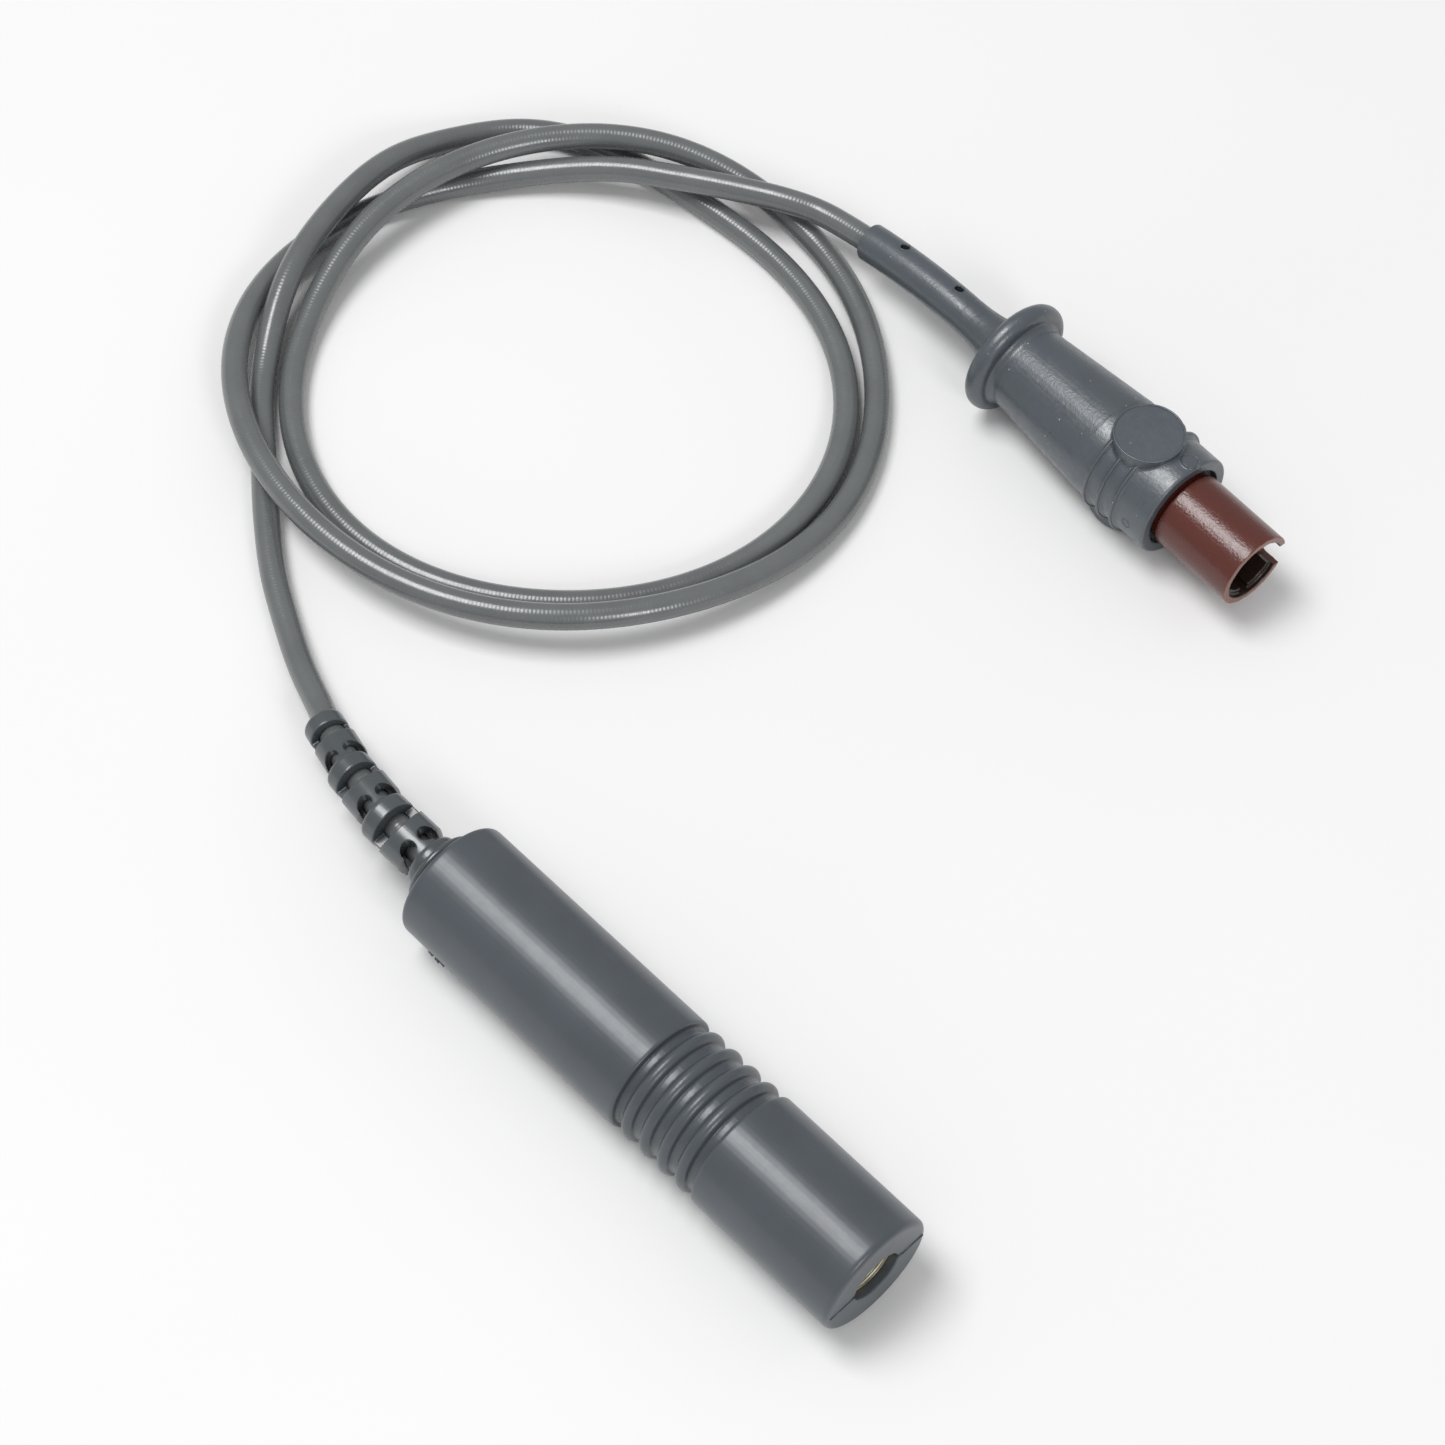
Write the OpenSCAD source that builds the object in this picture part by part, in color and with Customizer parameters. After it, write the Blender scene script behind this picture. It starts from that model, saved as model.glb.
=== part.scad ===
// Short adapter lead: a moulded barrel with a quarter-inch jack socket, a segmented
// strain relief, a round cord in two and a half loose turns, and a moulded keyed plug.
// Millimetres, +Z up. The barrel lies along X on Z = 0 with its socket facing +X,
// and the origin is on the floor under the middle of the barrel.

/* [Barrel] */
// Length of the moulded barrel
barrel_len = 67.6; // [64:0.2:80]
// Wall of the barrel round the jack's chamber
barrel_wall = 1.6; // [1.2:0.1:3]
// Rounding of the rear rim
rear_round = 0.6; // [0.4:0.1:1.4]
// Rounding of the front rim
front_round = 0.7; // [0.3:0.1:1.2]
// Front face to the first grip groove
front_sleeve = 20.7; // [14:0.1:24]
// Number of grip rings
ring_count = 4; // [2:1:6]
// Width of one grip ring
ring_w = 1.6; // [1.2:0.1:2]
// Width of the groove beside each ring
groove_w = 1.2; // [0.8:0.1:1.6]
// Depth of the grooves
groove_depth = 0.9; // [0.5:0.1:1]

/* [Jack socket] */
// Bore of the brass bushing, for a 6.35 mm phone plug
socket_d = 6.45; // [6.4:0.05:6.7]
// Thickness of the moulded front lip
lip_t = 1.2; // [0.8:0.1:2]
// Width of the flash notches at the two ends of the hole
notch_w = 0.8; // [0.4:0.1:1.2]
// How far these notches reach into the lip
notch_out = 0.45; // [0.3:0.05:0.6]
// Wall of the bushing
bushing_wall = 1.25; // [0.8:0.05:1.6]
// Length of the bushing
bushing_len = 11; // [8:0.5:12]
// Thickness of the bushing flange
flange_t = 1.2; // [0.8:0.1:2]
// Outer diameter of the chamber liner
liner_d = 12; // [11.8:0.1:12.2]
// Wall of the chamber liner
liner_wall = 0.4; // [0.3:0.05:0.5]
// Thickness of the sheet frame
frame_t = 0.6; // [0.4:0.1:0.8]
// Width of the frame's long arm
arm_w = 5; // [3:0.2:5.4]
// Height of the arm's underside over the socket axis
arm_h = 3.7; // [3.6:0.05:3.9]
// Length of the free chamber behind the frame plate
chamber_len = 19; // [17:0.5:19]
// Length of the insulating terminal block
block_len = 6.4; // [4:0.2:8]
// Width of the tip spring
spring_w = 3; // [2:0.2:3.2]
// Thickness of the tip spring
spring_t = 0.35; // [0.25:0.05:0.4]
// Reach of the tip spring from its clamp to its crest
spring_reach = 4.6; // [4:0.1:5.2]
// Height of the spring's crest below the socket axis
crest_h = 2.3; // [2.2:0.1:2.8]
// Length of the solder tags behind the block
tag_len = 3.5; // [3:0.1:4]

/* [Strain relief] */
// Diameter of the domed collar at the barrel
collar_d = 9.6; // [8.4:0.1:10]
// Diameter of the second, smaller dome
neck_d = 6.9; // [6.4:0.1:7.6]
// Height of both domes together
dome_h = 4; // [3:0.1:5]
// Length of the root moulded into the barrel
root_len = 9; // [7:0.5:10]
// Number of segments
segment_count = 3; // [2:1:3]
// Length of one segment
segment_len = 8; // [7.6:0.1:9]
// Radius of the segment next to the barrel
segment_r = 3.2; // [3.1:0.05:3.4]
// How much each next segment is smaller in radius
segment_step = 0.35; // [0.2:0.05:0.35]
// Thickness of a segment's full ring
seg_ring = 2.2; // [1.6:0.1:2.4]
// Width of a segment's upper and lower slots at their bottom
seg_slot = 1.2; // [0.8:0.1:1.9]
// Lean of a block's face into these slots, per millimetre of height
seg_lean = 0.33; // [0:0.01:0.4]
// Gap between a block and the ring behind it
seg_gap = 0.5; // [0.3:0.1:0.9]
// Rounding of a block's free corners
seg_corner = 1.4; // [1:0.1:1.6]
// Radius of the holes beside the spine
hole_r = 1; // [0.7:0.05:1.1]
// Thickness of the webs between the upper and lower slots
web_t = 0.7; // [0.5:0.1:1]
// Width of the spine's waist between these holes
spine_w = 0.8; // [0.6:0.1:1.2]
// Length of cord held behind the relief's root
cord_hold = 9; // [8:0.5:11]
// Radius of the curve along the relief
relief_bend = 50; // [50:1:80]
// Tilt of that curve towards the floor
relief_tilt = 35; // [30:1:40]
// Roll of the segments about the cord, from the top towards -Y
relief_roll = 9; // [0:1:20]

/* [Cord] */
// Outer diameter of the cord
cord_d = 3.3; // [3.1:0.05:3.4]
// Diameter of one insulated conductor
wire_d = 1.1; // [0.8:0.05:1.2]
// Diameter of a bare conductor
strand_d = 0.6; // [0.4:0.05:0.6]
// Outer diameter of the crimp rings on the cord
crimp_d = 4.7; // [4.4:0.1:5.2]
// Length of the crimp rings
crimp_len = 4.5; // [3:0.5:5]
// Mean radius of the loose turns
coil_r = 39.5; // [39.5:0.1:41]
// Rise of the cord where it crosses over itself
coil_lift = 3.95; // [3.95:0.05:4.2]

/* [Plug] */
// Length of the grip from its flange to its front face
grip_len = 31.3; // [29:0.1:34]
// Diameter of the rounded rear flange
flange_d = 15.6; // [15.2:0.1:16.4]
// Thickness of the rear flange
rim_t = 2.7; // [2.4:0.1:4]
// Radius of the hollow fillet in front of the flange
rim_fillet = 1.5; // [1:0.1:1.6]
// Diameter of the grip just in front of the flange
waist_d = 11.3; // [11:0.1:12.6]
// Diameter of the grip near its front face
nose_d = 14; // [13.4:0.1:14.4]
// Length of the straight front part
nose_len = 12.3; // [11.8:0.1:14]
// Diameter of the flat finger pad on top
pad_d = 8.7; // [7:0.1:10]
// Distance from the front face to the middle of that pad
pad_back = 7; // [6:0.1:7.4]
// Diameter of the larger pad underneath
low_pad_d = 10; // [8:0.1:11]
// Distance from the front face to the middle of that pad
low_pad_back = 8.5; // [7:0.1:9]
// Number of ribs on each side
rib_count = 3; // [2:1:4]
// Spacing of the ribs
rib_pitch = 2.3; // [2:0.1:3]
// Radius of a rib
rib_r = 0.35; // [0.25:0.05:0.45]
// Distance from the top pad's rear edge to the first rib
rib_in = 1.7; // [0.5:0.1:3]
// Diameter of the boot
boot_d = 5; // [4.6:0.1:5.6]
// Length of the boot behind the flange
boot_len = 24.9; // [22:0.1:30]
// Length of the boot's flared foot
flare_len = 7; // [5:0.5:9]
// Diameter of the flare at the flange
flare_d = 7.4; // [6.6:0.1:10]
// Diameter of the two moulding holes in the boot
pin_hole_d = 1.2; // [0.8:0.1:1.4]

/* [Keyed shell] */
// Outer diameter of the shell
shell_d = 10.2; // [9.8:0.1:10.6]
// Wall of the shell
shell_wall = 0.9; // [0.7:0.05:1]
// Length of the shell in front of the grip
shell_out = 12.2; // [11:0.1:14]
// Length of the shell inside the grip
shell_in = 7; // [6:0.5:9]
// Diameter of the shell's root in the grip
shell_root_d = 9.5; // [9.2:0.1:9.8]
// Length of that root in front of the grip
root_out = 0.3; // [0.2:0.1:0.6]
// Free depth inside the shell
shell_depth = 9.5; // [8:0.1:10]
// Width of the key slot
key_w = 3.4; // [2:0.1:4]
// Depth of the key slot
key_depth = 2.6; // [1.5:0.1:4]
// Clock angle of the key slot
key_angle = -8; // [-12:1:0]
// Height of the guide ridges inside the shell
ridge_h = 0.7; // [0.4:0.1:0.8]
// Thickness of the contact carrier
carrier_t = 5; // [4:0.5:6]
// Diameter of a contact pin
pin_d = 1; // [0.8:0.05:1.1]
// Spacing of the contact pins
pin_pitch = 2.54; // [2.2:0.02:3]
// Length of the pins in front of the carrier
pin_out = 4.8; // [3.5:0.1:5]

/* [Hidden] */

$fn = 64;
eps = 0.01;
fit = 0.02;          // radial clearance of nested round pieces
cord_fit = 0.05;     // radial clearance round the cord
step = 0.02;         // how much two round pieces that run into each other differ in radius
ball = 1.05;         // radius of a conductor's knee over its own
moulded = [0.42, 0.44, 0.46];
jacket = [0.44, 0.45, 0.46];
brown = [0.36, 0.21, 0.18];
brass = [0.85, 0.7, 0.4];
steel = [0.75, 0.75, 0.76];
nylon = [0.15, 0.15, 0.16];
natural = [0.85, 0.83, 0.78];

barrel_d = liner_d + 2 * barrel_wall;
axis_z = barrel_d / 2;
face_x = barrel_len / 2;

// depths behind the front face
bushing_rear = lip_t + bushing_len;
plate_rear = bushing_rear + frame_t;
block_front = plate_rear + chamber_len;
block_rear = block_front + block_len;
root_front = barrel_len - root_len;
cord_end = root_front - cord_hold;
crimp_front = cord_end + 1.5;

liner_r = liner_d / 2 - liner_wall;
bushing_r = socket_d / 2 + bushing_wall;
premould_r = liner_d / 2 - 0.6;
tag_top = -arm_h;                 // inner face of the spring's tag
tag_w = 2.4;                      // width of the solder tags
wire_space = 0.75;                // conductors' distance from the cord's axis
strand_h = arm_h - strand_d / 2 - 0.12;
joint_r = 0.85;                   // radius of a solder joint
joint_len = 1.8;                  // its length along the tag
pivot_gap = 0.1;                  // from the tag's end to the spring's pivot

relief_pitch = segment_count * segment_len;
relief_angle = relief_pitch / relief_bend * 180 / PI;
cord_r = cord_d / 2;
bore_r = cord_r + cord_fit;

// the plug's own frame: its axis leaves the flange's rear face at plug_at
plug_at = [-41.65, 99.85];
plug_turn = -3.8;
pad_h = 7.7;                      // the top pad's distance from the plug's axis
low_pad_h = 7.5;                  // the lower pad's distance from that axis
plug_z = flange_d / 2;
boot_bend = 10;                   // degrees that the boot bends over its length
boot_roll = -20;                  // which way it bends, from straight down towards +Y
mark_roll = 17;                   // roll of the boot's two holes from the top towards +Y
stud_roll = 10;                   // roll of the small round stud at the grip's front rim
mark_backs = [9.7, 19.3];         // their distances behind the flange
boot_root = 6;
shell_r = shell_d / 2;
shell_bore = shell_r - shell_wall;
tip_z = grip_len + shell_out;
carrier_front = tip_z - shell_depth;
carrier_rear = carrier_front - carrier_t;
core_r = shell_bore - fit;
crimp_at = boot_root + 1.5;
plug_cord_end = crimp_at + crimp_len + 1;
cup_len = 3;
cup_r = 0.85;

// The loose turns: the angle a runs clockwise from a = 0, and the radius swells and
// draws in by a bell [centre, rise, half width] at each place in coil_swells.
coil_at = [-81, 61];
coil_from = 257;
coil_start = 20;
coil_end = 860;
ring_step = 15;
coil_swells = [[44, -1.8, 33], [110, 5.5, 28], [161, -7.5, 66], [301, -3.9, 50], [413, -5, 77],
               [472, -1.5, 93], [603, 1.3, 27], [768, 5.2, 43], [850, -7.8, 97]];
// Low humps [centre, half width] where a turn passes over another
coil_humps = [[67, 28], [468, 54], [693, 73], [899, 60]];
// The free stretches, from the strain relief to the turns and from the turns to the boot
lead_points = [[-69.9, 8.2, 2.5], [-76, 11.1, 1.8], [-83.3, 15, 1.7], [-90.4, 19.9, 1.7]];
tail_points = [[-84.5, 95.4, 5.9], [-79, 98.2, 6.1], [-73.9, 100.3, 5.8]];

// ---------------------------------------------------------------- helpers

function unit(v) = v / norm(v);

function bell(x, w, power) = exp(-pow(abs(x) / w, power));

function total(v, i = 0) = i < len(v) ? v[i] + total(v, i + 1) : 0;

function coil_radius(a) = coil_r + total([for (s = coil_swells) s[1] * bell(a - s[0], s[2], 2)]);

function coil_height(a) = cord_r + coil_lift * min(1, total([for (h = coil_humps) bell(a - h[0], h[1], 4)]));

function coil_point(a) = [coil_at[0] + coil_radius(a) * cos(coil_from - a),
                          coil_at[1] + coil_radius(a) * sin(coil_from - a), coil_height(a)];

function coil_heading(a) = unit(coil_point(a + 1) - coil_point(a - 1));

// Smooth curve through points, with n steps between each two
function blend(p, i, t) =
    let (a = p[max(i - 1, 0)], b = p[i], c = p[i + 1], d = p[min(i + 2, len(p) - 1)])
    0.5 * (2 * b + (c - a) * t + (2 * a - 5 * b + 4 * c - d) * t * t + (3 * b - a - 3 * c + d) * t * t * t);

function smooth(p, n) = [for (i = [0 : len(p) - 2], k = [0 : n - 1]) blend(p, i, k / n), p[len(p) - 1]];

// Round tube of the given number of sides swept along a path that stays near level
module tube(path, r, sides) {
    last = len(path) - 1;
    ring = [for (i = [0 : last])
        let (t = unit(path[min(i + 1, last)] - path[max(i - 1, 0)]), s = unit(cross(t, [0, 0, 1])), u = cross(s, t))
        for (k = [0 : sides - 1]) path[i] + r * (cos(k * 360 / sides) * s + sin(k * 360 / sides) * u)];
    skin = [for (i = [0 : last - 1], k = [0 : sides - 1])
        let (a = i * sides + k, b = i * sides + (k + 1) % sides)
        each [[a, a + sides, b], [b, a + sides, b + sides]]];
    ends = [for (k = [1 : sides - 2]) each [[0, k, k + 1], [last * sides, last * sides + k + 1, last * sides + k]]];
    polyhedron(ring, concat(skin, ends));
}

// Solid of revolution's half outline with rounded outer corners at its two ends
module sleeve(r, h, round_low, round_high) {
    rotate_extrude() {
        translate([0, round_low]) square([r, h - round_low - round_high]);
        square([r - round_low, h - round_high]);
        translate([0, h - round_high - eps]) square([r - round_high, round_high + eps]);
        translate([r - round_low, round_low]) circle(round_low);
        translate([r - round_high, h - round_high]) circle(round_high);
    }
}

module rod(p, q, r) {
    v = q - p;
    translate(p) rotate([0, acos(v[2] / norm(v)), atan2(v[1], v[0])]) cylinder(h = norm(v), r = r);
}

// Bent round bar: starts at the origin along +Z and curves towards +X
module bend(radius, angle, r) {
    translate([radius, 0, 0]) rotate([90, 0, 0]) rotate([0, 0, 180 - angle])
        rotate_extrude(angle = angle, $fn = 180) translate([radius, 0]) circle(r, $fn = 48);
}

// Puts +Z along the depth behind the socket's face, +X up
module from_face(depth = 0) {
    translate([face_x - depth, 0, axis_z]) rotate([0, -90, 0]) children();
}

// Puts +Z along the plug's axis from the rear face of its flange, +X down
module from_flange(z = 0) {
    translate([plug_at[0], plug_at[1], plug_z]) rotate([0, 0, plug_turn]) rotate([0, 90, 0])
        translate([0, 0, z]) children();
}

// ---------------------------------------------------------------- barrel

module grip_rings() {
    zone = ring_count * ring_w + (ring_count + 1) * groove_w;
    translate([0, 0, front_sleeve - eps]) cylinder(h = zone + 2 * eps, r = barrel_d / 2 - groove_depth);
    for (i = [0 : ring_count - 1])
        translate([0, 0, front_sleeve + groove_w + ring_w / 2 + i * (ring_w + groove_w)])
            rotate_extrude() translate([barrel_d / 2 - ring_w / 2, 0]) circle(ring_w / 2);
}

module barrel_shell() {
    zone = ring_count * ring_w + (ring_count + 1) * groove_w;
    color(moulded) from_face() difference() {
        union() {
            sleeve(barrel_d / 2, front_sleeve, front_round, 0.3);
            grip_rings();
            translate([0, 0, front_sleeve + zone])
                sleeve(barrel_d / 2, barrel_len - front_sleeve - zone, 0.3, rear_round);
        }
        translate([0, 0, -1]) cylinder(h = lip_t + 1.1, d = socket_d);
        translate([-notch_w / 2, -socket_d / 2 - notch_out, -1])
            cube([notch_w, socket_d + 2 * notch_out, lip_t + 1 + eps]);
        translate([0, 0, lip_t]) cylinder(h = bushing_len, r = bushing_r + fit);
        translate([0, 0, bushing_rear - flange_t]) cylinder(h = block_rear - bushing_rear + flange_t, d = liner_d + 2 * fit);
        translate([0, 0, block_rear - eps]) cylinder(h = root_front - block_rear + 2 * eps, r = premould_r + fit);
        translate([0, 0, root_front]) cylinder(h = root_len + 1, r = collar_d / 2 + fit);
    }
}

module jack_bushing() {
    color(brass) from_face() difference() {
        union() {
            translate([0, 0, lip_t]) cylinder(h = bushing_len, r = bushing_r);
            translate([0, 0, bushing_rear - flange_t]) cylinder(h = flange_t, r = liner_d / 2);
        }
        translate([0, 0, lip_t - 1]) cylinder(h = bushing_len + 2, d = socket_d);
    }
}

module jack_frame() {
    color(steel) from_face() {
        difference() {
            translate([0, 0, bushing_rear]) cylinder(h = frame_t, r = liner_r - fit);
            translate([0, 0, bushing_rear - 1]) cylinder(h = frame_t + 2, d = socket_d + 0.5);
        }
        translate([arm_h, -arm_w / 2, bushing_rear + eps]) cube([frame_t, arm_w, block_rear - bushing_rear - eps]);
        translate([arm_h, -tag_w / 2, block_rear - 1]) cube([frame_t, tag_w, tag_len + 1]);
    }
}

module jack_liner() {
    color(natural) from_face(bushing_rear) difference() {
        cylinder(h = block_rear - bushing_rear, r = liner_d / 2);
        translate([0, 0, -1]) cylinder(h = block_rear - bushing_rear + 2, r = liner_r);
    }
}

module terminal_block() {
    color(nylon) from_face(block_front) difference() {
        cylinder(h = block_len, r = liner_r - fit);
        translate([arm_h - fit, -arm_w / 2 - fit, -1]) cube([frame_t + 2 * fit, arm_w + 2 * fit, block_len + 2]);
        translate([tag_top - spring_t - fit, -spring_w / 2 - fit, -1])
            cube([spring_t + 2 * fit, spring_w + 2 * fit, block_len + 2]);
    }
}

// The leaf turns about its clamped end, level with the tag that it springs from
module tip_spring() {
    mid = tag_top - spring_t / 2;
    crest = -crest_h - spring_t / 2;
    nose = [mid + 0.1, spring_reach + 2.4];
    leaf = [[mid, 0], [mid, 0.8], [crest - 0.35, spring_reach - 0.6], [crest, spring_reach],
            [crest - 0.35, spring_reach + 0.6], nose];
    color(brass) from_face(block_front - pivot_gap) rotate([90, 0, 0]) translate([0, 0, -spring_w / 2])
        linear_extrude(spring_w) for (i = [0 : len(leaf) - 2]) strip(leaf[i], leaf[i + 1], spring_t);
}

// Flat strip with round ends between two points given as [height, distance forward]
module strip(p, q, t) {
    v = q - p;
    translate([p[0], -p[1]]) {
        circle(t / 2, $fn = 24);
        rotate(atan2(-v[1], v[0])) translate([0, -t / 2]) square([norm(v), t]);
    }
    translate([q[0], -q[1]]) circle(t / 2, $fn = 24);
}

module tip_tag() {
    color(brass) from_face() {
        translate([tag_top - spring_t, -spring_w / 2, block_front + spring_t])
            cube([spring_t, spring_w, block_len - spring_t]);
        translate([tag_top - spring_t, -tag_w / 2, block_rear - 1]) cube([spring_t, tag_w, tag_len + 1]);
    }
}

module solder_joints() {
    color(steel) from_face(block_rear + 1.2) for (side = [-1, 1])
        intersection() {
            translate([side * strand_h, 0, 0]) difference() {
                cylinder(h = joint_len, r = joint_r);
                translate([0, 0, -1]) cylinder(h = joint_len + 2, d = strand_d + 2 * fit);
            }
            translate([-arm_h, -2 * joint_r, -1]) cube([2 * arm_h, 4 * joint_r, joint_len + 2]);
        }
}

// One conductor from the cord's end to a tag: side is 1 for the upper tag, -1 for the lower
module conductor(side, r_strand, r_wire) {
    bare = [side * strand_h, 0, block_rear + 0.6];
    joint = [side * strand_h, 0, block_rear + tag_len + 0.8];
    knee = [side * wire_space, 0, cord_end - 1.5];
    from_face() {
        rod(bare, joint, r_strand);
        translate(joint) sphere(r_wire * ball);
        rod(joint, knee, r_wire);
        translate(knee) sphere(r_wire * ball);
        rod(knee, [side * wire_space, 0, cord_end], r_wire);
    }
}

module signal_wire() color([0.9, 0.9, 0.88]) conductor(-1, strand_d / 2, wire_d / 2);

module return_wire() color([0.1, 0.1, 0.1]) conductor(1, strand_d / 2, wire_d / 2);

module barrel_premould() {
    color(natural) difference() {
        from_face(block_rear) cylinder(h = root_front - block_rear, r = premould_r);
        from_face() {
            for (side = [-1, 1]) translate([side * strand_h, 0, block_rear + 1.2 - fit])
                cylinder(h = joint_len + 2 * fit, r = joint_r + fit);
            translate([arm_h - fit, -tag_w / 2 - fit, block_rear - 1])
                cube([frame_t + 2 * fit, tag_w + 2 * fit, tag_len + 1 + fit]);
            translate([tag_top - spring_t - fit, -tag_w / 2 - fit, block_rear - 1])
                cube([spring_t + 2 * fit, tag_w + 2 * fit, tag_len + 1 + fit]);
            translate([0, 0, cord_end]) cylinder(h = 20, r = cord_r + fit);
            translate([0, 0, crimp_front - fit]) cylinder(h = crimp_len + 2 * fit, r = crimp_d / 2 + fit);
        }
        for (side = [-1, 1]) conductor(side, strand_d / 2 + fit, wire_d / 2 + fit);
    }
}

module crimp() {
    difference() {
        cylinder(h = crimp_len, d = crimp_d);
        translate([0, 0, -1]) cylinder(h = crimp_len + 2, r = cord_r + fit);
    }
}

module barrel_crimp() color(steel) from_face(crimp_front) crimp();

// ---------------------------------------------------------------- strain relief

// Carries its children along the relief's curve, s millimetres from the domes, +X up
module along_relief(s) {
    a = s / relief_bend * 180 / PI;
    from_face(barrel_len + dome_h) rotate([0, 0, 90 + relief_tilt])
        translate([relief_bend * (1 - cos(a)), 0, relief_bend * sin(a)]) rotate([0, a, 0])
            rotate([0, 0, -90 - relief_tilt]) children();
}

// One segment: a spine above and below the cord, waisted by two holes straight through,
// a block whose free corners are rounded, a web on each side and a full ring
module segment(r) {
    block_r = r + 0.15;
    corner_y = block_r - seg_corner + 0.15;
    hole_y = spine_w / 2 + hole_r;
    ring_from = segment_len - seg_ring;
    block_end = ring_from - seg_slot;
    rotate([0, 0, -relief_roll]) {
        difference() {
            intersection() {
                translate([0, 0, -0.9]) cylinder(h = block_end + 0.9, r = block_r);
                rotate([90, 0, 0]) linear_extrude(3 * r, center = true)
                    polygon([[0, block_end], [2 * r, block_end - 2 * r * seg_lean], [2 * r, -1], [-2 * r, -1],
                             [-2 * r, block_end - 2 * r * seg_lean]]);
                rotate([0, 90, 0]) linear_extrude(3 * r, center = true) {
                    for (side = [-1, 1]) translate([-seg_gap - seg_corner, side * corner_y]) circle(seg_corner);
                    translate([-block_end - 1, -r - 1]) square([block_end + 1 - seg_gap - seg_corner, 2 * r + 2]);
                    translate([-block_end - 1, -corner_y]) square([block_end + 1 - seg_gap, 2 * corner_y]);
                    translate([-block_end, -hole_y - 0.1]) square([block_end + 1, 2 * hole_y + 0.2]);
                }
            }
            for (side = [-1, 1]) translate([0, side * hole_y, hole_r - 0.1])
                rotate([0, 90, 0]) cylinder(h = 3 * r, r = hole_r, center = true);
        }
        intersection() {
            translate([0, 0, block_end - 0.3]) cylinder(h = seg_slot + 0.6, r = r - 0.1);
            cube([web_t, 3 * r, 3 * segment_len], center = true);
        }
    }
    translate([0, 0, ring_from]) sleeve(r, seg_ring, 0.15, 0.6);
}

module strain_relief() {
    color(moulded) difference() {
        union() {
            from_face(root_front) cylinder(h = root_len + 1, r = collar_d / 2 - step);
            from_face(barrel_len) sleeve(collar_d / 2, dome_h * 0.55, 0.1, 1.4);
            from_face(barrel_len + 1) sleeve(neck_d / 2, dome_h - 1, 0.1, 1.1);
            for (i = [0 : segment_count - 1]) along_relief(i * segment_len) segment(segment_r - i * segment_step);
        }
        from_face(root_front - 1) cylinder(h = root_len + dome_h + 1.2, r = bore_r + step);
        from_face(barrel_len + dome_h) rotate([0, 0, 90 + relief_tilt]) bend(relief_bend, relief_angle + 1, bore_r);
    }
}

module relief_cord() {
    color(jacket) {
        from_face(cord_end) cylinder(h = barrel_len + dome_h + 0.5 - cord_end, r = cord_r - step);
        from_face(barrel_len + dome_h) rotate([0, 0, 90 + relief_tilt]) bend(relief_bend, relief_angle, cord_r);
    }
}

// ---------------------------------------------------------------- cord

// Tip of the strain relief and the direction in which the cord leaves it
relief_out = relief_bend * (1 - cos(relief_angle));
relief_tip = [-face_x - dome_h - relief_bend * sin(relief_angle), relief_out * cos(relief_tilt),
              axis_z - relief_out * sin(relief_tilt)];
relief_heading = [-cos(relief_angle), sin(relief_angle) * cos(relief_tilt), -sin(relief_angle) * sin(relief_tilt)];

// End of the boot and the direction in which the cord leaves it, in the plug's own frame
boot_arc = boot_len - flare_len;
boot_radius = boot_arc / boot_bend * 180 / PI;
boot_out = boot_radius * (1 - cos(boot_bend));
boot_back = flare_len + boot_radius * sin(boot_bend);

// Plug frame to part frame: [forward, towards +Y, up]
function from_plug(v) = [v[0] * cos(plug_turn) - v[1] * sin(plug_turn), v[0] * sin(plug_turn) + v[1] * cos(plug_turn), v[2]];

boot_tip = [plug_at[0], plug_at[1], plug_z]
    + from_plug([-boot_back, boot_out * sin(boot_roll), -boot_out * cos(boot_roll)]);
boot_heading = from_plug([-cos(boot_bend), sin(boot_bend) * sin(boot_roll), -sin(boot_bend) * cos(boot_roll)]);

coil_in = unit([coil_heading(coil_start)[0], coil_heading(coil_start)[1], 0]);
coil_out = coil_heading(coil_end);
coil_first = coil_point(coil_start) - cord_d * coil_in;
coil_last = coil_point(coil_end) + cord_d * coil_out;

coil_path = concat([coil_first], [for (a = [coil_start : ring_step : coil_end]) coil_point(a)], [coil_last]);

module lead_cord() {
    a = relief_tip + cord_d * relief_heading;
    b = coil_first - cord_d * coil_in;
    curve = smooth(concat([a], lead_points, [b]), 2);
    color(jacket) tube(concat([relief_tip], curve, [coil_first]), cord_r, 8);
}

module cord_coil() {
    fine = [for (a = [coil_start : 3 : coil_end]) coil_point(a)];
    least = min([for (i = [0 : len(fine) - 1], k = [i + 60 : 1 : len(fine) - 1]) norm(fine[i] - fine[k])]);
    echo(least_gap_of_the_cord_to_itself = least - cord_d);
    color(jacket) tube(coil_path, cord_r, 6);
}

module plug_cord() {
    a = coil_last + cord_d * coil_out;
    b = boot_tip + cord_d * boot_heading;
    curve = smooth(concat([a], tail_points, [b]), 2);
    color(jacket) tube(concat([coil_last], curve, [boot_tip]), cord_r, 8);
}

// ---------------------------------------------------------------- plug

// Puts +Z backwards along the boot's curve from the flange, which bends towards +X
module boot_frame(z = 0) from_flange(-z) rotate([0, 180, 0]) rotate([0, 0, 180 - boot_roll]) children();

// Carries its children along the boot's curve, s millimetres behind the flare, -X up
module along_boot(s) {
    a = s / boot_radius * 180 / PI;
    boot_frame(flare_len) translate([boot_radius * (1 - cos(a)), 0, boot_radius * sin(a)])
        rotate([0, a, 0]) rotate([0, 0, boot_roll]) children();
}

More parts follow.
